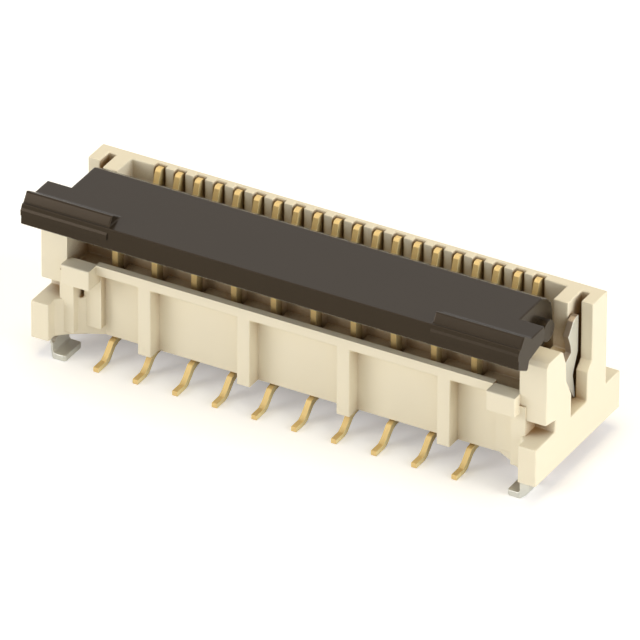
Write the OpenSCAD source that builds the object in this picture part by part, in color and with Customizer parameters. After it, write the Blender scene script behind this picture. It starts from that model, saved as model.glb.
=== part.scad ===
// Vertical zero-insertion-force connector for a flat flexible cable.
// A lever lies flat over the front of the housing and turns up to clamp the cable.
// X runs along the contact row, -Y is the lever side, Z = 0 is the circuit board.

/* [Contacts] */
// Number of contacts in the row
contact_count = 20; // [10:2:30]
// Distance between neighbouring contacts
contact_pitch = 0.5; // [0.5:0.01:0.6]
// Thickness of the contact sheet
contact_t = 0.14; // [0.11:0.01:0.17]
// Clearance on each side of a contact in its groove
groove_clear = 0.07; // [0.04:0.01:0.09]
// How far a solder tail reaches past the wall above it
tail_reach = 0.79; // [0.65:0.01:1]
// Thickness of a solder tail
tail_t = 0.12; // [0.1:0.01:0.16]

/* [Housing] */
// Height of the housing top above the board
housing_h = 3.82; // [3.15:0.01:4.6]
// Gap between the board and the underside of the housing
standoff = 0.51; // [0.48:0.01:0.62]
// Height of the base step above the board
base_h = 1.45; // [1.35:0.01:1.6]
// Housing length beyond the outermost contact at each end
end_len = 1.58; // [1.3:0.01:2]
// Depth of the base step behind the contact plane
step_y = 0.92; // [0.75:0.01:1.2]

/* [Lever] */
// Depth of the lever in front of its axis
lever_reach = 2.12; // [1.9:0.01:2.6]
// Height of the lever top above its axis
lever_rise = 0.73; // [0.7:0.01:0.76]
// Radius of the lever shaft between its slots
shaft_r = 0.2; // [0.16:0.01:0.24]
// Radial clearance between the shaft and the contact hooks
shaft_clear = 0.035; // [0.02:0.005:0.05]
// Length of each finger ridge
ridge_len = 2.17; // [1:0.01:3]

/* [Nails] */
// Thickness of the hold-down sheet
nail_t = 0.15; // [0.12:0.01:0.18]
// Width of the solder foot along the row
foot_w = 0.46; // [0.36:0.01:0.56]

/* [Hidden] */
$fn = 48;
eps = 0.01;

// contact positions: odd ones have front tails, even ones have rear tails
function contact_x(k) = (k - (contact_count + 1) / 2) * contact_pitch;
function is_front(k) = k % 2 == 1;
function two(k) = k < 10 ? str("0", k) : str(k);
function contact_name(k) = str(is_front(k) ? "contact_front_" : "contact_rear_", two(k));

// half-lengths along X
x_last = contact_x(contact_count);
half = x_last + end_len;
end_wall = 0.3;                      // outer end column
nail_gap = 0.2;                      // open slot beside the nail's finger
x_wall = half - end_wall;            // outer side of that slot
x_pier = x_wall - nail_gap;          // inner side of that slot, outer face of a pier
x_nail = x_wall - (nail_gap - nail_t) / 2;      // outer face of a nail
x_slot = x_pier - 0.37;              // end of the cable slot
x_post = half - 0.67;                // inner side of a front post
x_ear = half - 0.13;                 // end of the lever's front part
x_cam = half - 0.73;                 // end of the lever's rear part

// planes in Y, with Y = 0 at the contact plane
rib_y = -2.42;                       // ribs and rail
post_y = -2.48;                      // front posts
block_y = -2.94;                     // end blocks
wall_in = 0.02;                      // back wall, cable side
wall_out = 0.27;                     // back wall, outside
groove_y = 0.17;                     // bottom of the back grooves
slot_y = -0.8;                       // front of the cable slot
comb_y = -1.55;                      // rear of the front wall

// the lever's axis and what follows it
axis_y = -1.45;
axis_z = housing_h - 0.27;
cam_r = 0.55;
cut_r = 0.56;
hook_r0 = shaft_r + shaft_clear;
hook_r1 = max(hook_r0 + 0.19, 0.42);
arm_t = hook_r1 + 0.08;              // from the axis to the front of a contact's arm
comb_z = axis_z - 0.92;              // top of the comb under the lever
front_z = axis_z - 1.07;             // top of the front wall
slot_w = contact_t + 2 * groove_clear;

// seats of the contacts in the floor
floor_z = 1.23;
seat_z = 1.03;
front_seat = axis_y - arm_t - 0.015;
panel_y = front_seat - 0.05;         // front panel
nail_front = -1.9;                   // front edge of a nail inside the post
rear_seat = -0.7;

// the bounding box is centred on Y = 0 of the finished part
front_edge = axis_y - lever_reach;
rear_edge = step_y + tail_reach;
shift_y = -(front_edge + rear_edge) / 2;

// ---- helpers ----

// draws a (Y, Z) outline from x0 to x1
module along_x(x0, x1)
    translate([x0, 0, 0]) rotate([90, 0, 90]) linear_extrude(x1 - x0) children();

// a box given by its limits
module box(x0, x1, y0, y1, z0, z1)
    translate([x0, y0, z0]) cube([x1 - x0, y1 - y0, z1 - z0]);

module both_ends() {
    children();
    mirror([1, 0, 0]) children();
}

// ---- housing ----

// outline of the base seen from above, with a sloping corner at each end block
module base_outline() {
    right = [
        [half, step_y], [half, block_y], [half - 0.45, block_y], [half - 0.45, -2.67],
        [half - 0.65, -2.47], [half - 1.03, -2.2], [half - 1.39, panel_y]];
    n = len(right);
    polygon(concat(right, [for (i = [n - 1:-1:0]) [-right[i][0], right[i][1]]]));
}

// front wall with its rail, ribs, pads and corner columns
module front_wall() {
    box(-x_pier, x_pier, panel_y, comb_y, standoff, front_z - 0.3);
    // rail along the top
    rail_x = half - 1.36;
    along_x(-rail_x, rail_x) polygon([
        [panel_y + eps, front_z - 0.5], [rib_y, front_z - 0.24], [rib_y, front_z],
        [-2.22, front_z], [-2.15, front_z - 0.3], [panel_y + eps, front_z - 0.3]]);
    // ribs
    rib_n = round(contact_count / 5);
    rib_gap = contact_count * contact_pitch / rib_n;
    for (i = [0:rib_n - 1]) translate([(i - (rib_n - 1) / 2) * rib_gap, 0, 0])
        along_x(-0.16, 0.16) polygon([
            [panel_y + eps, standoff], [rib_y, standoff], [rib_y, front_z - 0.2],
            [-2.25, front_z - 0.2], [-2.25, front_z - 0.32], [panel_y + eps, front_z - 0.32]]);
    both_ends() {
        // pad, with the same low rear part as the rail
        along_x(half - 1.36, half - 0.65) polygon([
            [-2.73, front_z - 0.52], [-2.73, front_z - 0.02], [-2.34, front_z - 0.02],
            [-2.22, front_z - 0.3], [panel_y + eps, front_z - 0.3],
            [panel_y + eps, front_z - 0.52]]);
        // columns below the pad
        box(half - 0.85, half - 0.5, -2.52, panel_y + eps, standoff + 0.12, front_z - 0.3);
        box(half - 1.38, half - 0.93, -2.22, panel_y + eps, standoff + 0.22, front_z - 0.3);
    }
}

// post in front of each nail, standing on the end block
module front_post()
    along_x(x_post, half) polygon([
        [-2.05, base_h - eps], [-2.05, base_h + 0.3], [post_y, base_h + 0.38],
        [post_y, axis_z - 0.28], [post_y + 0.1, axis_z - 0.18], [-1.84, axis_z - 0.18],
        [-1.74, axis_z - 0.24], [-1.6, axis_z - 0.59], [-1.57, axis_z - 1.04],
        [-1.33, base_h + 0.6], [-1.33, base_h - eps]]);

// pier at the end of the cable slot and the column behind the nail
module rear_end() {
    box(x_slot, x_pier, -0.62, wall_in + eps, base_h - eps, housing_h);
    along_x(x_wall, half) polygon([
        [-0.6, base_h - eps], [-0.6, base_h + 0.74], [-0.4, base_h + 0.94],
        [-0.4, housing_h], [wall_out, housing_h], [wall_out, base_h - eps]]);
    // wall inboard of the nail, below the lever
    box(x_slot, x_pier, comb_y - eps, wall_in, base_h - eps, comb_z);
}

// room for one contact, pressed in from below
module contact_seat(k) {
    x = contact_x(k);
    y0 = is_front(k) ? front_seat : rear_seat;
    y1 = is_front(k) ? 0.12 : step_y - 0.12;
    box(x - contact_t / 2, x + contact_t / 2, y0, y1, standoff - 0.1, seat_z);
    // groove of the contact beam
    box(x - slot_w / 2, x + slot_w / 2, -0.3, groove_y, seat_z - eps, housing_h + 1);
    // groove of the front arm
    if (is_front(k))
        box(x - slot_w / 2, x + slot_w / 2, front_seat, comb_y + eps, seat_z - eps, housing_h);
}

module housing() color([0.96, 0.93, 0.84]) translate([0, shift_y, 0]) difference() {
    union() {
        translate([0, 0, standoff]) linear_extrude(base_h - standoff) base_outline();
        box(-half, half, wall_in, wall_out, base_h - eps, housing_h);
        // comb between the front wall and the cable slot
        box(-x_pier, x_pier, comb_y - eps, slot_y, base_h - eps, comb_z);
        front_wall();
        both_ends() {
            front_post();
            rear_end();
        }
    }
    // cable slot, with a sloping lead-in at the comb
    box(-x_slot, x_slot, slot_y, wall_in, floor_z, housing_h + 1);
    along_x(-x_slot, x_slot) polygon([
        [slot_y - eps, comb_z - 0.25], [slot_y - 0.15, comb_z + eps], [slot_y, comb_z + eps],
        [slot_y + eps, comb_z - 0.25]]);
    // slots of the nails
    both_ends() {
        // press seat through the end block and up into the post
        box(x_nail - nail_t, x_nail, nail_front, -1.62, standoff - 0.1, axis_z - 0.98);
        // open slot behind the post
        box(x_pier, x_wall, -1.62, wall_in - 0.07, base_h, housing_h + 1);
    }
    for (k = [1:contact_count]) contact_seat(k);
}

// ---- contacts ----

// (Y, Z) outline of the spring beam, from its front foot over the bump and top to its rear foot
function beam_outline() = let (zt = housing_h - 0.04, zb = axis_z - 0.52) [
    [-0.28, seat_z], [-0.15, floor_z + 0.3], [-0.18, zb - 0.4], [-0.42, zb - 0.07],
    [-0.45, zb], [-0.42, zb + 0.07], [-0.2, zb + 0.32], [-0.07, zt - 0.05],
    [-0.02, zt], [0.1, zt], [0.14, zt - 0.04], [0.12, zt - 0.4], [0.12, seat_z]];

// tail that leaves below the wall at y and runs outwards, d = -1 to the front, 1 to the rear
function tail_outline(y, d) = [for (p = [
    [-0.05, standoff - 0.04], [0.1, standoff - 0.07], [0.34, tail_t + 0.08], [0.47, tail_t],
    [tail_reach, tail_t], [tail_reach, 0], [0.4, 0], [0.27, 0.05], [0.03, 0.28],
    [-0.1, 0.33], [-0.55, 0.35], [-0.55, standoff]]) [y + d * p[0], p[1]]];

// a front contact, from the rear end of its seat
function front_outline() = let (b = beam_outline()) concat(
    [[0.12, standoff]], [for (i = [len(b) - 1:-1:0]) b[i]],
    [[front_seat, seat_z], [front_seat, standoff]], tail_outline(panel_y, -1));

// a rear contact, from the front end of its seat
function rear_outline() = let (y1 = step_y - 0.12) concat(
    [[rear_seat, standoff], [rear_seat, seat_z]], beam_outline(),
    [[y1, seat_z], [y1, standoff]], tail_outline(step_y, 1));

// hook that goes over the lever shaft, on top of the front arm
module hook() {
    translate([axis_y, axis_z]) difference() {
        circle(r = hook_r1);
        circle(r = hook_r0);
        // open below the axis and behind the top
        translate([-1, -2]) square([2, 2]);
        polygon([[0, 0], [0.6, 1.04], [2, 1.04], [2, -1], [0, -1]]);
    }
    // arm
    polygon([
        [axis_y - arm_t, seat_z - 0.05], [axis_y - hook_r0, seat_z - 0.05],
        [axis_y - hook_r0, axis_z + eps], [axis_y - hook_r1, axis_z + eps],
        [axis_y - arm_t, axis_z - 0.12]]);
}

module contact(k) color([0.85, 0.68, 0.32])
    translate([contact_x(k), shift_y, 0]) {
        along_x(-contact_t / 2, contact_t / 2)
            polygon(is_front(k) ? front_outline() : rear_outline());
        if (is_front(k)) along_x(-contact_t / 2, contact_t / 2) hook();
    }

// ---- nails ----

// (Y, Z) outline of the sheet: post leg, rear arm with its finger and its lower barb
module nail_sheet() polygon([
    [-0.45, axis_z - 0.05], [-0.58, axis_z - 0.05], [-0.7, axis_z - 0.11],
    [-0.83, axis_z - 0.3], [-0.92, axis_z - 0.4], [-0.8, axis_z - 0.67],
    [-0.77, axis_z - 0.86], [-1.0, axis_z - 0.98], [nail_front, axis_z - 0.98],
    [nail_front, standoff], [-2.6, standoff - 0.04], [-2.66, standoff - 0.1], [-2.66, 0.3],
    [-1.9, 0.3], [-1.62, 0.42], [-1.62, axis_z - 1.6], [-1.1, axis_z - 1.6],
    [-0.8, base_h + 0.32], [-0.6, base_h], [-0.55, base_h + 0.06], [-0.67, axis_z - 1.48],
    [-0.59, axis_z - 1.27], [-0.45, axis_z - 0.97]]);

// (X, Z) outline of the foot: the sheet bends inwards to lie on the board
module foot_outline() let (x0 = x_nail - foot_w, x1 = x_nail, t = nail_t) polygon([
    [x0, 0], [x1 - 0.14, 0], [x1 - 0.05, 0.05], [x1, 0.15], [x1, 0.4], [x1 - t, 0.4],
    [x1 - t, 0.19], [x1 - t - 0.04, t], [x0, t]]);

module nail_plate() translate([0, shift_y, 0]) {
    along_x(x_nail - nail_t, x_nail) nail_sheet();
    // foot, with its outer front corner cut back
    intersection() {
        translate([0, -2.05, 0]) rotate([90, 0, 0]) linear_extrude(0.73) foot_outline();
        linear_extrude(1) polygon([
            [x_nail + 0.1, -2], [x_nail + 0.1, -2.52], [x_nail - 0.14, -2.78],
            [x_nail - foot_w + 0.05, -2.78], [x_nail - foot_w, -2.73],
            [x_nail - foot_w, -2.1], [x_nail - foot_w + 0.05, -2]]);
    }
}

module nail_right() color([0.78, 0.78, 0.76]) nail_plate();
module nail_left() color([0.78, 0.78, 0.76]) mirror([1, 0, 0]) nail_plate();

// ---- lever ----

// outline of the plate and cam about the axis
module lever_outline() {
    r = lever_rise;
    f = -lever_reach + 0.04;
    circle(r = cam_r);
    polygon([
        [f, r], [f - 0.02, 0.24], [f + 0.02, 0.2], [f + 0.37, 0.0],
        [f + 0.43, 0.03], [f + 0.48, 0.21], [-0.91, 0.37], [-0.45, 0.37], [-0.2, -0.4],
        [0.27, -0.45], [0.45, -0.44], [0.54, -0.31], [0.58, -0.07], [0.56, 0.19],
        [0.49, 0.43], [0.315, 0.59], [0.12, r - 0.03], [0.06, r]]);
}

// finger ridge on the front edge at each end
module ridge_outline() {
    r = lever_rise;
    f = -lever_reach;
    polygon([[f, r - 0.28], [f, r - 0.15], [f + 0.24, r + 0.18], [f + 0.28, r + 0.2],
        [f + 0.34, r + 0.18], [f + 0.64, r - eps], [f + 0.64, r - 0.1], [f + 0.1, r - 0.28]]);
}

module lever() color([0.3, 0.27, 0.24]) translate([0, shift_y + axis_y, axis_z]) {
    difference() {
        union() {
            along_x(-x_cam, x_cam) lever_outline();
            both_ends() {
                // the front part runs past the posts
                intersection() {
                    along_x(x_cam - eps, x_ear) lever_outline();
                    box(x_cam - 1, x_ear + 1, -lever_reach - 1, -0.93, -1, 2);
                }
                along_x(x_ear - ridge_len, x_ear) ridge_outline();
            }
        }
        // slots for the hooks, each with room for the turn of the lever
        for (k = [1:2:contact_count]) translate([contact_x(k), 0, 0])
            along_x(-slot_w / 2, slot_w / 2) difference() {
                union() {
                    circle(r = cut_r);
                    translate([-0.62, -0.8]) square([1.4, 0.8]);
                }
                circle(r = shaft_r);
            }
    }
    // end journals between the nails
    both_ends() along_x(x_cam - 0.1, x_nail - nail_t - 0.05) circle(r = 0.25);
}

housing();
lever();
nail_left();
nail_right();
for (k = [1:contact_count]) contact(k);
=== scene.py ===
import math

import bmesh
import bpy
from mathutils import Matrix, Vector


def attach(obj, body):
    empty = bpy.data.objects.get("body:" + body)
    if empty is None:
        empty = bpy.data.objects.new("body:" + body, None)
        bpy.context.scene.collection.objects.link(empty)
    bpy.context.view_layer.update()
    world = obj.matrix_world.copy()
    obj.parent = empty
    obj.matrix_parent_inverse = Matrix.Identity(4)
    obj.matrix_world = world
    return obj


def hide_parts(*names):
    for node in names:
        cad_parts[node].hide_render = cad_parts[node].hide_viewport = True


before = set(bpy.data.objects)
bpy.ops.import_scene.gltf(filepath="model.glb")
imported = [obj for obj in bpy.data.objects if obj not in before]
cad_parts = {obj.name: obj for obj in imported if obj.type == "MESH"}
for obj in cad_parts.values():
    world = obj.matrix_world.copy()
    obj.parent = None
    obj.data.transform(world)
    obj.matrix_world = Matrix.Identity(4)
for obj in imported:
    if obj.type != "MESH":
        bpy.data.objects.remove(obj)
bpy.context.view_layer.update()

bl_info = {
    "name": "Flip Lever Cable Connector",
    "version": (1, 0, 0),
    "blender": (4, 5, 0),
    "location": "3D Viewport > Sidebar > Connector",
    "description": "Builds a vertical flat cable connector with a flip lever",
    "category": "Add Mesh",
}

# Meshes are worked on in millimetres, as the bevel tool's own tolerance is too coarse in metres.
MM = 1000.0

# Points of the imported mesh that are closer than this, in millimetres, are one point.
MERGE_GAP = 0.0006
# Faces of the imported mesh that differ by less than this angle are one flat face.
FLAT_ANGLE = math.radians(0.5)

# Edges that turn by more than this are rounded.
SHARP_ANGLE = math.radians(28.0)
# Steps in each rounded edge.
ROUND_SEGMENTS = 2
# Shortest edge that is rounded, and least width of the faces beside it, in radii.
LEAST_ROOM = 2.2
# Shortest edge that may meet a rounded edge, in radii.
LEAST_NEIGHBOUR = 1.3
# How near to a crossing an edge is left sharp, in radii, try by try.
CLEAR_REACHES = (1.8, 1.8, 2.5, 2.5, 4.0, 4.0, 6.0, 6.0)
# Two sides of an outline cross when both of their products of areas are below minus this.
CROSSING_SLACK = 1e-11

# Shading runs on across an angle up to these, at a rounded edge and between flat faces.
ROUNDED_TURN = math.radians(50.0)
FLAT_TURN = math.radians(20.0)
# Weight of a rounded face in the shading, so that flat faces stay flat.
NARROW_WEIGHT = 0.0001
# A stamped part's flat sides face along the row, and its sheared edges face across it. The faces
# across the row get a painted shade, standing for the dark lever and housing that they reflect.
SIDE_FACING = 0.7
# Below this height, in millimetres, a nail's bent foot gets none of the painted shade of the faces
# across the row.
NAIL_FOOT_TOP = 0.5

# Height of the surface grain, in metres.
GRAIN_HEIGHT = 0.000004
# How far away the walls of a recess are looked for, in metres.
RECESS_DEPTH = 0.0011
# Openness at which a recess has its full painted shade.
RECESS_CLOSED = 0.12

# Side of each lamp and the lamps' places, in metres.
LAMP_SIZE = 0.08
RIGHT_LAMP = (0.14, -0.01, 0.045)
LEFT_LAMP = (-0.1, -0.1, 0.05)
TOP_LAMP = (0.0, -0.01, 0.15)
TOP_LAMP_COLOUR = (1.0, 0.83, 0.52)
# Part of the white that the floor gives off where it is seen.
FLOOR_GLOW = 0.25

# The camera looks at this point, in millimetres, moved right and up in its own view.
AIM = Vector((0.0, 0.93, 0.03))
AIM_RIGHT = -0.578
AIM_UP = 1.086
SENSOR_WIDTH = 36.0


# ---- settings ----


def length(name, description, default, low, high):
    """A length setting in metres, shown to a hundredth of a millimetre."""
    return bpy.props.FloatProperty(
        name=name,
        description=description,
        default=default,
        min=low,
        max=high,
        precision=5,
        unit="LENGTH",
    )


def colour(name, description, default):
    """A colour setting."""
    return bpy.props.FloatVectorProperty(
        name=name,
        description=description,
        default=default,
        size=3,
        min=0.0,
        max=1.0,
        subtype="COLOR",
    )


def power(name, description, default):
    """A lamp power setting, in watts."""
    return bpy.props.FloatProperty(
        name=name, description=description, default=default, min=0.0, max=1.0, unit="POWER"
    )


def strength(name, description, default):
    """A light strength setting."""
    return bpy.props.FloatProperty(
        name=name, description=description, default=default, min=0.0, max=4.0
    )


def angle(name, description, degrees):
    """An angle setting, given in degrees."""
    return bpy.props.FloatProperty(
        name=name, description=description, default=math.radians(degrees), subtype="ANGLE"
    )


class ConnectorEdges(bpy.types.PropertyGroup):
    """How far the edges of each kind of part are rounded."""

    housing: length("Housing", "Radius of the moulded housing edges", 0.00003, 0.00001, 0.00006)
    lever: length("Lever", "Radius of the lever edges", 0.00003, 0.00001, 0.00006)
    contact: length("Contacts", "Radius of the stamped contact edges", 0.00001, 0.000005, 0.00003)
    nail: length("Nails", "Radius of the stamped nail edges", 0.000015, 0.000005, 0.00003)


class ConnectorColours(bpy.types.PropertyGroup):
    """The colours of the four finishes."""

    cream: colour("Housing", "Cream moulding", (0.755, 0.695, 0.545))
    # Painted shade: the warm dark tint that the cream takes deep in its recesses, where little
    # light gets in.
    recess_shade: colour("Recess", "Cream moulding deep in its recesses", (0.3, 0.17, 0.06))
    umber: colour("Lever", "Dark brown-grey moulding", (0.016, 0.0115, 0.0065))
    gold: colour("Gold", "Plated contact", (0.98, 0.83, 0.43))
    # Painted shade: the darker gold on the faces across the row stands for the dark lever and
    # housing that they reflect.
    gold_painted_shade: colour("Gold Shade", "Gold on the sheared edges", (0.8, 0.58, 0.24))
    # Painted shade: the dark gold that the contacts take deep in recesses, where little light gets
    # in.
    gold_recess_shade: colour("Gold Deep", "Gold deep in the recesses", (0.28, 0.17, 0.06))
    tin: colour("Tin", "Plated nail", (0.72, 0.72, 0.65))
    # Painted shade: the dark tin on the faces across the row stands for the dark lever that they
    # reflect.
    tin_painted_shade: colour("Tin Shade", "Tin on the sheared edges", (0.3, 0.24, 0.18))


class ConnectorStudio(bpy.types.PropertyGroup):
    """Floor, light and camera."""

    floor_size: length("Floor Size", "Side of the floor", 0.6, 0.1, 2.0)
    sky_low: strength("Sky Low", "Strength of the sky at the horizon", 0.95)
    sky_high: strength("Sky High", "Strength of the sky overhead", 0.22)
    right_power: power("Right Lamp", "Power of the lamp on the right", 0.123)
    left_power: power("Left Lamp", "Power of the lamp in front on the left", 0.088)
    top_power: power("Top Lamp", "Power of the warm lamp overhead", 0.095)
    azimuth: angle("Azimuth", "Camera angle round the connector", 29.08)
    elevation: angle("Elevation", "Camera angle above the board", 31.38)
    roll: angle("Roll", "Turn of the camera about its own line", 0.35)
    distance: length("Distance", "Camera to the connector", 0.3, 0.05, 2.0)
    focal: bpy.props.FloatProperty(
        name="Focal Length",
        description="Focal length of the camera, in millimetres",
        default=765.7,
        min=50,
        max=5000,
    )


# ---- shader helpers ----


class Shader:
    """A material's node tree, with short calls to add and join nodes."""

    def __init__(self, name):
        self.material = bpy.data.materials.new(name)
        self.material.use_nodes = True
        self.tree = self.material.node_tree
        self.tree.nodes.clear()
        self.output = self.add("ShaderNodeOutputMaterial")

    def add(self, kind, **settings):
        """A new node in the material."""
        return add_node(self.tree, kind, **settings)

    def group(self, node_group, **values):
        """A node group in the material, with its inputs named in small letters."""
        node = self.add("ShaderNodeGroup")
        node.node_tree = node_group
        for key, value in values.items():
            node.inputs[key.replace("_", " ").title()].default_value = value
        return node

    def join(self, start, end):
        """A link from an output to an input."""
        self.tree.links.new(start, end)

    def principled(self, **values):
        """The Principled surface of the material."""
        node = self.add("ShaderNodeBsdfPrincipled")
        for key, value in values.items():
            label = key.replace("_", " ").title().replace("Ior", "IOR")
            node.inputs[label].default_value = value
        self.join(node.outputs["BSDF"], self.output.inputs["Surface"])
        return node


def add_node(tree, kind, inputs=(), **settings):
    """A node with its settings and the plain values of its inputs."""
    node = tree.nodes.new(kind)
    for key, value in settings.items():
        setattr(node, key, value)
    for key, value in dict(inputs).items():
        node.inputs[key].default_value = value
    return node


def new_group(name, inputs, outputs):
    """An empty shader node group with its sockets, and its input and output nodes."""
    tree = bpy.data.node_groups.new(name, "ShaderNodeTree")
    for label, kind, default in inputs:
        socket = tree.interface.new_socket(name=label, in_out="INPUT", socket_type=kind)
        socket.default_value = default
    for label, kind in outputs:
        tree.interface.new_socket(name=label, in_out="OUTPUT", socket_type=kind)
    return tree, tree.nodes.new("NodeGroupInput"), tree.nodes.new("NodeGroupOutput")


def rgba(value):
    """A colour with full alpha."""
    return (*value, 1.0)


def grain_group():
    """Fine grain of a moulded or rolled surface: a height and a roughness."""
    tree, source, result = new_group(
        "Surface Grain",
        [
            ("Grain Scale", "NodeSocketFloat", 20000.0),
            ("Low Roughness", "NodeSocketFloat", 0.4),
            ("High Roughness", "NodeSocketFloat", 0.5),
        ],
        [("Height", "NodeSocketFloat"), ("Roughness", "NodeSocketFloat")],
    )
    place = add_node(tree, "ShaderNodeTexCoord")
    fine = add_node(tree, "ShaderNodeTexNoise", {"Detail": 4.0, "Roughness": 0.6})
    broad = add_node(tree, "ShaderNodeTexNoise", {"Scale": 1800.0, "Detail": 2.0})
    span = add_node(tree, "ShaderNodeMapRange")
    link = tree.links.new
    link(place.outputs["Object"], fine.inputs["Vector"])
    link(place.outputs["Object"], broad.inputs["Vector"])
    link(source.outputs["Grain Scale"], fine.inputs["Scale"])
    link(broad.outputs["Fac"], span.inputs["Value"])
    link(source.outputs["Low Roughness"], span.inputs["To Min"])
    link(source.outputs["High Roughness"], span.inputs["To Max"])
    link(fine.outputs["Fac"], result.inputs["Height"])
    link(span.outputs["Result"], result.inputs["Roughness"])
    return tree


def drift_group():
    """Slow change between two colours over a part."""
    tree, source, result = new_group(
        "Tone Drift",
        [
            ("First Tone", "NodeSocketColor", (1, 1, 1, 1)),
            ("Second Tone", "NodeSocketColor", (1, 1, 1, 1)),
            ("Drift Scale", "NodeSocketFloat", 400.0),
        ],
        [("Tone", "NodeSocketColor")],
    )
    place = add_node(tree, "ShaderNodeTexCoord")
    noise = add_node(tree, "ShaderNodeTexNoise", {"Detail": 3.0})
    mix = add_node(tree, "ShaderNodeMix", data_type="RGBA")
    link = tree.links.new
    link(place.outputs["Object"], noise.inputs["Vector"])
    link(source.outputs["Drift Scale"], noise.inputs["Scale"])
    link(noise.outputs["Fac"], mix.inputs["Factor"])
    link(source.outputs["First Tone"], mix.inputs["A"])
    link(source.outputs["Second Tone"], mix.inputs["B"])
    link(mix.outputs["Result"], result.inputs["Tone"])
    return tree


def shared(name, make):
    """A node group or material that is made once and then shared."""
    found = bpy.data.node_groups.get(name) or bpy.data.materials.get(name)
    return found or make()


def textured(shader, surface, tones, drift_scale, grain_scale, roughness, bump):
    """Gives a Principled surface its drifting tone, its roughness and its fine grain."""
    tone = shader.group(
        shared("Tone Drift", drift_group),
        first_tone=rgba(tones[0]),
        second_tone=rgba(tones[1]),
        drift_scale=drift_scale,
    )
    grain = shader.group(
        shared("Surface Grain", grain_group),
        grain_scale=grain_scale,
        low_roughness=roughness[0],
        high_roughness=roughness[1],
    )
    relief = shader.add("ShaderNodeBump", inputs={"Strength": bump, "Distance": GRAIN_HEIGHT})
    shader.join(grain.outputs["Height"], relief.inputs["Height"])
    shader.join(relief.outputs["Normal"], surface.inputs["Normal"])
    shader.join(grain.outputs["Roughness"], surface.inputs["Roughness"])
    shader.join(tone.outputs["Tone"], surface.inputs["Base Color"])
    return tone


def paint_edge_shade(shader, tone, shade):
    """The tone of a stamped part, with a painted shade on the faces across the row, standing for
    the dark parts that they reflect.
    """
    edge = shader.add("ShaderNodeAttribute", attribute_name="shaded")
    mix = shader.add("ShaderNodeMix", data_type="RGBA")
    shader.join(edge.outputs["Fac"], mix.inputs["Factor"])
    shader.join(tone, mix.inputs["A"])
    mix.inputs["B"].default_value = rgba(shade)
    return mix.outputs["Result"]


def paint_recess_shade(shader, tone, tint, open_from):
    """Painted shade: a tone that turns into a warm dark tint deep in narrow recesses, where the
    ambient occlusion finds that little light gets in.
    """
    share = shader.add(
        "ShaderNodeAmbientOcclusion", inputs={"Distance": RECESS_DEPTH}, samples=8
    )
    span = shader.add(
        "ShaderNodeMapRange",
        inputs={"From Min": RECESS_CLOSED, "From Max": open_from},
        interpolation_type="SMOOTHSTEP",
    )
    mix = shader.add("ShaderNodeMix", data_type="RGBA")
    shader.join(share.outputs["AO"], span.inputs["Value"])
    shader.join(span.outputs["Result"], mix.inputs["Factor"])
    mix.inputs["A"].default_value = rgba(tint)
    shader.join(tone, mix.inputs["B"])
    return mix.outputs["Result"]


def cream_moulding():
    """Cream heat-resistant plastic with a dull face, with a painted warm shade in its recesses."""
    colours = bpy.context.scene.connector_colours
    shader = Shader("Cream Moulding")
    surface = shader.principled(ior=1.5)
    base = colours.cream
    tone = textured(
        shader,
        surface,
        (base, (base[0] * 0.98, base[1] * 0.965, base[2] * 0.93)),
        drift_scale=500.0,
        grain_scale=25000.0,
        roughness=(0.42, 0.55),
        bump=0.12,
    )
    # Painted shade: the cream goes over to a warm dark tint where the ambient occlusion finds a
    # narrow recess.
    warm = paint_recess_shade(shader, tone.outputs["Tone"], colours.recess_shade, open_from=0.6)
    shader.join(warm, surface.inputs["Base Color"])
    return shader.material


def umber_moulding():
    """Dark brown-grey plastic with a satin face."""
    colours = bpy.context.scene.connector_colours
    shader = Shader("Umber Moulding")
    surface = shader.principled(ior=1.5, specular_ior_level=0.34)
    surface.inputs["Specular Tint"].default_value = (1.0, 0.8, 0.62, 1.0)
    base = colours.umber
    textured(
        shader,
        surface,
        (base, (base[0] * 1.25, base[1] * 1.2, base[2] * 1.15)),
        drift_scale=700.0,
        grain_scale=16000.0,
        roughness=(0.2, 0.28),
        bump=0.05,
    )
    return shader.material


def gold_plating():
    """Gold over stamped sheet, with a painted shade on the faces across the row and in recesses.
    """
    colours = bpy.context.scene.connector_colours
    shader = Shader("Gold Plating")
    surface = shader.principled(metallic=0.4)
    tone = textured(
        shader,
        surface,
        (colours.gold, [c * 0.92 for c in colours.gold]),
        drift_scale=2500.0,
        grain_scale=30000.0,
        roughness=(0.36, 0.48),
        bump=0.1,
    )
    # Painted shade on the gold faces across the row.
    edged = paint_edge_shade(shader, tone.outputs["Tone"], colours.gold_painted_shade)
    # Painted shade: the gold goes over to a dark tint in narrow recesses.
    deep = paint_recess_shade(shader, edged, colours.gold_recess_shade, open_from=0.5)
    shader.join(deep, surface.inputs["Base Color"])
    return shader.material


def tin_plating():
    """Matt tin over stamped sheet, with a painted shade on the faces across the row."""
    colours = bpy.context.scene.connector_colours
    shader = Shader("Tin Plating")
    surface = shader.principled(metallic=0.6)
    tone = textured(
        shader,
        surface,
        (colours.tin, [c * 0.9 for c in colours.tin]),
        drift_scale=2600.0,
        grain_scale=30000.0,
        roughness=(0.34, 0.48),
        bump=0.12,
    )
    # Painted shade on the tin faces across the row.
    edged = paint_edge_shade(shader, tone.outputs["Tone"], colours.tin_painted_shade)
    shader.join(edged, surface.inputs["Base Color"])
    return shader.material


# ---- mesh helpers ----


def merged_copy(node):
    """A copy of a CAD node's mesh in millimetres, merged, with its flat faces made whole."""
    shape = bmesh.new()
    shape.from_mesh(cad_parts[node].data)
    bmesh.ops.scale(shape, vec=Vector((MM, MM, MM)), verts=shape.verts)
    bmesh.ops.remove_doubles(shape, verts=shape.verts, dist=MERGE_GAP)
    bmesh.ops.dissolve_limit(
        shape, angle_limit=FLAT_ANGLE, verts=shape.verts, edges=shape.edges
    )
    return shape


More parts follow.
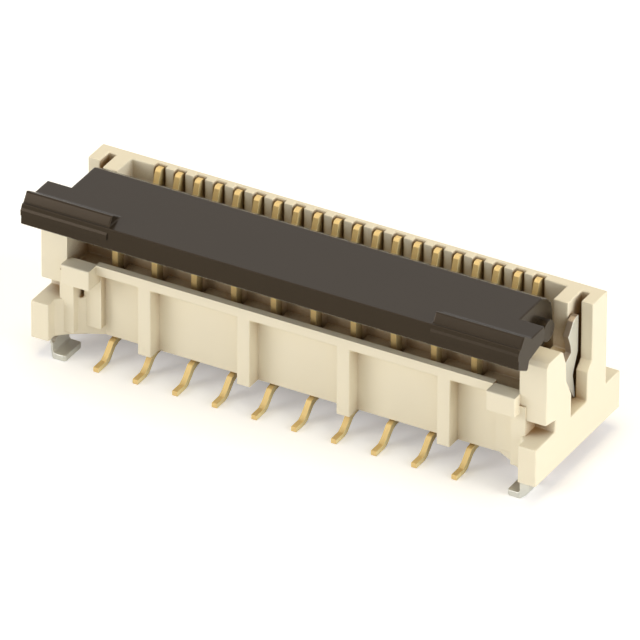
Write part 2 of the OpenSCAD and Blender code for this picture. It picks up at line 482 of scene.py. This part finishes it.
def room_beside(edge):
    """The least width of the faces beside an edge, measured from it."""
    start, end = (v.co for v in edge.verts)
    along = (end - start).normalized()
    widths = []
    for face in edge.link_faces:
        away = [(v.co - start) - (v.co - start).dot(along) * along for v in face.verts]
        widths.append(max(a.length for a in away))
    return min(widths)


def has_room(edge, radius):
    """True if an edge and everything that meets it is long enough to be rounded."""
    return (
        edge.calc_length() > LEAST_ROOM * radius
        and room_beside(edge) > LEAST_ROOM * radius
        and all(
            other.calc_length() > LEAST_NEIGHBOUR * radius
            for v in edge.verts
            for other in v.link_edges
        )
    )


def crossings(face):
    """The points where the outline of a face crosses itself."""
    axis = max(range(3), key=lambda i: abs(face.normal[i]))
    first, second = (i for i in range(3) if i != axis)
    flat = [Vector((v.co[first], v.co[second])) for v in face.verts]
    count = len(flat)
    found = []
    for i in range(count):
        p, q = flat[i], flat[(i + 1) % count]
        for j in range(i + 2, count if i else count - 1):
            r, s = flat[j], flat[(j + 1) % count]
            sides = (q - p).cross(r - p) * (q - p).cross(s - p)
            other = (s - r).cross(p - r) * (s - r).cross(q - r)
            if sides < -CROSSING_SLACK and other < -CROSSING_SLACK:
                found += [face.verts[k % count].co.copy() for k in (i, i + 1, j, j + 1)]
    return found


def round_edges(shape, radius):
    """Rounds the sharp edges that have room for it. Edges whose rounding would run into
    a neighbour are left out, and the rest is done again. Returns the shape and its new faces."""
    shape.edges.index_update()
    chosen = {
        e for e in shape.edges if e.calc_face_angle(0.0) > SHARP_ANGLE and has_room(e, radius)
    }
    for reach in CLEAR_REACHES:
        trial = shape.copy()
        trial.edges.ensure_lookup_table()
        made = bmesh.ops.bevel(
            trial,
            geom=[trial.edges[e.index] for e in chosen],
            offset=radius,
            offset_type="OFFSET",
            segments=ROUND_SEGMENTS,
            profile=0.5,
            affect="EDGES",
            material=-1,
            clamp_overlap=False,
        )
        trial.normal_update()
        spots = [point for face in trial.faces for point in crossings(face)]
        if not spots:
            shape.free()
            return trial, set(made["faces"])
        trial.free()
        chosen -= {
            e
            for e in chosen
            if any((v.co - spot).length < reach * radius for v in e.verts for spot in spots)
        }
    raise RuntimeError("the edges could not be rounded cleanly")


def fan_normal(corner, narrow):
    """The shading normal of a face corner. Flat faces keep theirs, and rounded edges turn
    between them."""
    vertex = corner.vert
    fan, queue = {corner.face}, [corner.face]
    while queue:
        face = queue.pop()
        for edge in face.edges:
            if vertex not in edge.verts:
                continue
            for other in edge.link_faces:
                rounded = face in narrow or other in narrow
                limit = ROUNDED_TURN if rounded else FLAT_TURN
                if other not in fan and edge.calc_face_angle(0.0) < limit:
                    fan.add(other)
                    queue.append(other)
    total = Vector()
    for face in fan:
        total += face.normal * face.calc_area() * (NARROW_WEIGHT if face in narrow else 1.0)
    return total.normalized()


def finished(shape, narrow, name, body, slot, material, node, foot_top=-1.0):
    """Turns a shape in millimetres into a piece that stands for a CAD node and rides on a body."""
    shape.normal_update()
    shading = shape.loops.layers.float_vector.new("shading")
    # Painted shade: faces across the row, above a nail's foot, are marked for the darker gold and
    # tin.
    shaded = shape.faces.layers.float.new("shaded")
    for face in shape.faces:
        face.smooth = True
        across = abs(face.normal.x) < SIDE_FACING and face.calc_center_median().z > foot_top
        face[shaded] = 1.0 if across else 0.0
        for corner in face.loops:
            corner[shading] = fan_normal(corner, narrow)
    bmesh.ops.triangulate(shape, faces=shape.faces)
    bmesh.ops.scale(shape, vec=Vector((1 / MM,) * 3), verts=shape.verts)
    mesh = bpy.data.meshes.new(name)
    shape.to_mesh(mesh)
    shape.free()
    normals = [tuple(n.vector) for n in mesh.attributes["shading"].data]
    mesh.attributes.remove(mesh.attributes["shading"])
    mesh.normals_split_custom_set(normals)
    mesh.materials.append(material)
    piece = bpy.data.objects.new(name, mesh)
    bpy.context.scene.collection.objects.link(piece)
    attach(piece, body)
    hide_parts(node)


def build(node, name, body, slot, material, radius, **settings):
    """Builds the rounded piece that stands for a CAD node. The radius is in metres."""
    shape, narrow = round_edges(merged_copy(node), radius * MM)
    finished(shape, narrow, name, body, slot, material, node, **settings)


# ---- pieces ----


class CONNECTOR_OT_housing(bpy.types.Operator):
    """Add the cream housing with its contact grooves and posts"""

    bl_idname = "connector.housing"
    bl_label = "Housing"

    def execute(self, context):
        cream = shared("Cream Moulding", cream_moulding)
        radius = context.scene.connector_edges.housing
        build("housing", "housing_moulding", "connector", "housing", cream, radius)
        return {"FINISHED"}


class CONNECTOR_OT_lever(bpy.types.Operator):
    """Add the flip lever that clamps the cable"""

    bl_idname = "connector.lever"
    bl_label = "Lever"

    def execute(self, context):
        umber = shared("Umber Moulding", umber_moulding)
        radius = context.scene.connector_edges.lever
        build("lever", "flip_lever_moulding", "flip_lever", "lever", umber, radius)
        return {"FINISHED"}


class CONNECTOR_OT_contacts(bpy.types.Operator):
    """Add the row of stamped contacts"""

    bl_idname = "connector.contacts"
    bl_label = "Contacts"

    def execute(self, context):
        gold = shared("Gold Plating", gold_plating)
        radius = context.scene.connector_edges.contact
        for node in sorted(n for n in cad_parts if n.startswith("contact_")):
            build(node, "gold_" + node, "connector", "contact", gold, radius)
        return {"FINISHED"}


class CONNECTOR_OT_nails(bpy.types.Operator):
    """Add the two solder nails that hold the connector down"""

    bl_idname = "connector.nails"
    bl_label = "Nails"

    def execute(self, context):
        tin = shared("Tin Plating", tin_plating)
        radius = context.scene.connector_edges.nail
        for node in ("nail_left", "nail_right"):
            name = "solder_" + node
            build(node, name, "connector", "nail", tin, radius, foot_top=NAIL_FOOT_TOP)
        return {"FINISHED"}


# ---- stage ----


def pale_floor():
    """White floor that keeps the shadow, seen through from below."""
    shader = Shader("Pale Floor")
    surface = shader.add(
        "ShaderNodeBsdfPrincipled",
        inputs={
            "Base Color": (0.93, 0.93, 0.93, 1.0),
            "Roughness": 0.9,
            "Specular IOR Level": 0.0,
        },
    )
    glow = shader.add("ShaderNodeEmission", inputs={"Color": (1, 1, 1, 1)})
    seen = shader.add("ShaderNodeLightPath")
    share = shader.add("ShaderNodeMath", operation="MULTIPLY", inputs={1: FLOOR_GLOW})
    lit = shader.add("ShaderNodeAddShader")
    clear = shader.add("ShaderNodeBsdfTransparent")
    side = shader.add("ShaderNodeNewGeometry")
    both = shader.add("ShaderNodeMixShader")
    shader.join(seen.outputs["Is Camera Ray"], share.inputs[0])
    shader.join(share.outputs[0], glow.inputs["Strength"])
    shader.join(surface.outputs[0], lit.inputs[0])
    shader.join(glow.outputs[0], lit.inputs[1])
    shader.join(side.outputs["Backfacing"], both.inputs[0])
    shader.join(lit.outputs[0], both.inputs[1])
    shader.join(clear.outputs[0], both.inputs[2])
    shader.join(both.outputs[0], shader.output.inputs["Surface"])
    return shader.material


def soft_sky(low, high):
    """A white sky. Where it is seen its strength is 1. As light it goes from low at the
    horizon to high overhead."""
    world = bpy.data.worlds.new("Soft Sky")
    world.use_nodes = True
    tree = world.node_tree
    tree.nodes.clear()
    link = tree.links.new
    output = add_node(tree, "ShaderNodeOutputWorld")
    back = add_node(tree, "ShaderNodeBackground", {"Color": (1, 1, 1, 1)})
    place = add_node(tree, "ShaderNodeTexCoord")
    split = add_node(tree, "ShaderNodeSeparateXYZ")
    rise = add_node(
        tree,
        "ShaderNodeMapRange",
        {"From Min": 0.15, "From Max": 0.95, "To Min": low, "To Max": high},
        interpolation_type="SMOOTHSTEP",
    )
    path = add_node(tree, "ShaderNodeLightPath")
    seen = add_node(tree, "ShaderNodeMath", operation="MAXIMUM")
    seen_too = add_node(tree, "ShaderNodeMath", operation="MAXIMUM")
    span = add_node(tree, "ShaderNodeMapRange", {"To Max": 1.0})
    link(place.outputs["Generated"], split.inputs[0])
    link(split.outputs["Z"], rise.inputs["Value"])
    link(path.outputs["Is Camera Ray"], seen.inputs[0])
    link(path.outputs["Is Glossy Ray"], seen.inputs[1])
    link(seen.outputs[0], seen_too.inputs[0])
    link(path.outputs["Is Transmission Ray"], seen_too.inputs[1])
    link(seen_too.outputs[0], span.inputs["Value"])
    link(rise.outputs["Result"], span.inputs["To Min"])
    link(span.outputs["Result"], back.inputs["Strength"])
    link(back.outputs[0], output.inputs["Surface"])
    return world


def soft_lamp(name, place, energy, tint=(1.0, 1.0, 1.0)):
    """A square lamp at a place, facing the connector."""
    data = bpy.data.lights.new(name, "AREA")
    data.shape = "SQUARE"
    data.size = LAMP_SIZE
    data.energy = energy
    data.color = tint
    lamp = bpy.data.objects.new(name, data)
    bpy.context.scene.collection.objects.link(lamp)
    lamp.location = place
    lamp.rotation_mode = "QUATERNION"
    lamp.rotation_quaternion = (-Vector(place)).to_track_quat("-Z", "Y")


def pale_slab(size):
    """The floor under the connector."""
    grid = bmesh.new()
    bmesh.ops.create_grid(grid, x_segments=1, y_segments=1, size=size / 2)
    mesh = bpy.data.meshes.new("floor")
    grid.to_mesh(mesh)
    grid.free()
    mesh.materials.append(shared("Pale Floor", pale_floor))
    slab = bpy.data.objects.new("floor", mesh)
    bpy.context.scene.collection.objects.link(slab)


def studio_camera(studio):
    """The camera, turned round and above the connector and rolled about its own line."""
    azimuth, elevation, roll = studio.azimuth, studio.elevation, studio.roll
    level = Vector((math.cos(azimuth), math.sin(azimuth), 0.0))
    back = Vector(
        (
            math.sin(azimuth) * math.cos(elevation),
            -math.cos(azimuth) * math.cos(elevation),
            math.sin(elevation),
        )
    )
    rise = back.cross(level)
    right = math.cos(roll) * level + math.sin(roll) * rise
    up = -math.sin(roll) * level + math.cos(roll) * rise
    target = AIM + AIM_RIGHT * right + AIM_UP * up
    turn = Matrix((right, up, back)).transposed().to_4x4()
    data = bpy.data.cameras.new("studio_camera")
    data.lens = studio.focal
    data.sensor_width = SENSOR_WIDTH
    data.clip_start = 0.01
    data.clip_end = 5.0
    camera = bpy.data.objects.new("studio_camera", data)
    bpy.context.scene.collection.objects.link(camera)
    camera.matrix_world = Matrix.Translation(target / MM + back * studio.distance) @ turn
    return camera


class CONNECTOR_OT_stage(bpy.types.Operator):
    """Add the floor, the lamps and the camera"""

    bl_idname = "connector.stage"
    bl_label = "Stage"

    def execute(self, context):
        scene = context.scene
        studio = scene.connector_studio
        scene.view_settings.view_transform = "Standard"
        pale_slab(studio.floor_size)
        scene.world = soft_sky(studio.sky_low, studio.sky_high)
        soft_lamp("right_lamp", RIGHT_LAMP, studio.right_power)
        soft_lamp("left_lamp", LEFT_LAMP, studio.left_power)
        soft_lamp("top_lamp", TOP_LAMP, studio.top_power, TOP_LAMP_COLOUR)
        scene.camera = studio_camera(studio)
        return {"FINISHED"}


# ---- panel ----


class VIEW3D_PT_connector(bpy.types.Panel):
    """The settings and the steps that build the connector"""

    bl_label = "Cable Connector"
    bl_idname = "VIEW3D_PT_connector"
    bl_space_type = "VIEW_3D"
    bl_region_type = "UI"
    bl_category = "Connector"

    def draw(self, context):
        scene = context.scene
        for title, group in (
            ("Edge Radii", scene.connector_edges),
            ("Colours", scene.connector_colours),
            ("Studio", scene.connector_studio),
        ):
            box = self.layout.box()
            box.label(text=title)
            for key in type(group).__annotations__:
                box.prop(group, key)
        for step in STEPS:
            self.layout.operator(step.bl_idname)


STEPS = (
    CONNECTOR_OT_housing,
    CONNECTOR_OT_lever,
    CONNECTOR_OT_contacts,
    CONNECTOR_OT_nails,
    CONNECTOR_OT_stage,
)
SETTINGS = (ConnectorEdges, ConnectorColours, ConnectorStudio)


def register():
    """Adds the settings, the steps and the panel to Blender."""
    for cls in (*SETTINGS, *STEPS, VIEW3D_PT_connector):
        bpy.utils.register_class(cls)
    bpy.types.Scene.connector_edges = bpy.props.PointerProperty(type=ConnectorEdges)
    bpy.types.Scene.connector_colours = bpy.props.PointerProperty(type=ConnectorColours)
    bpy.types.Scene.connector_studio = bpy.props.PointerProperty(type=ConnectorStudio)


def unregister():
    """Takes them out again."""
    del bpy.types.Scene.connector_studio
    del bpy.types.Scene.connector_colours
    del bpy.types.Scene.connector_edges
    for cls in reversed((*SETTINGS, *STEPS, VIEW3D_PT_connector)):
        bpy.utils.unregister_class(cls)


def main():
    """Builds every piece and the stage."""
    register()
    bpy.ops.connector.housing()
    bpy.ops.connector.lever()
    bpy.ops.connector.contacts()
    bpy.ops.connector.nails()
    bpy.ops.connector.stage()


if __name__ == "__main__":
    main()
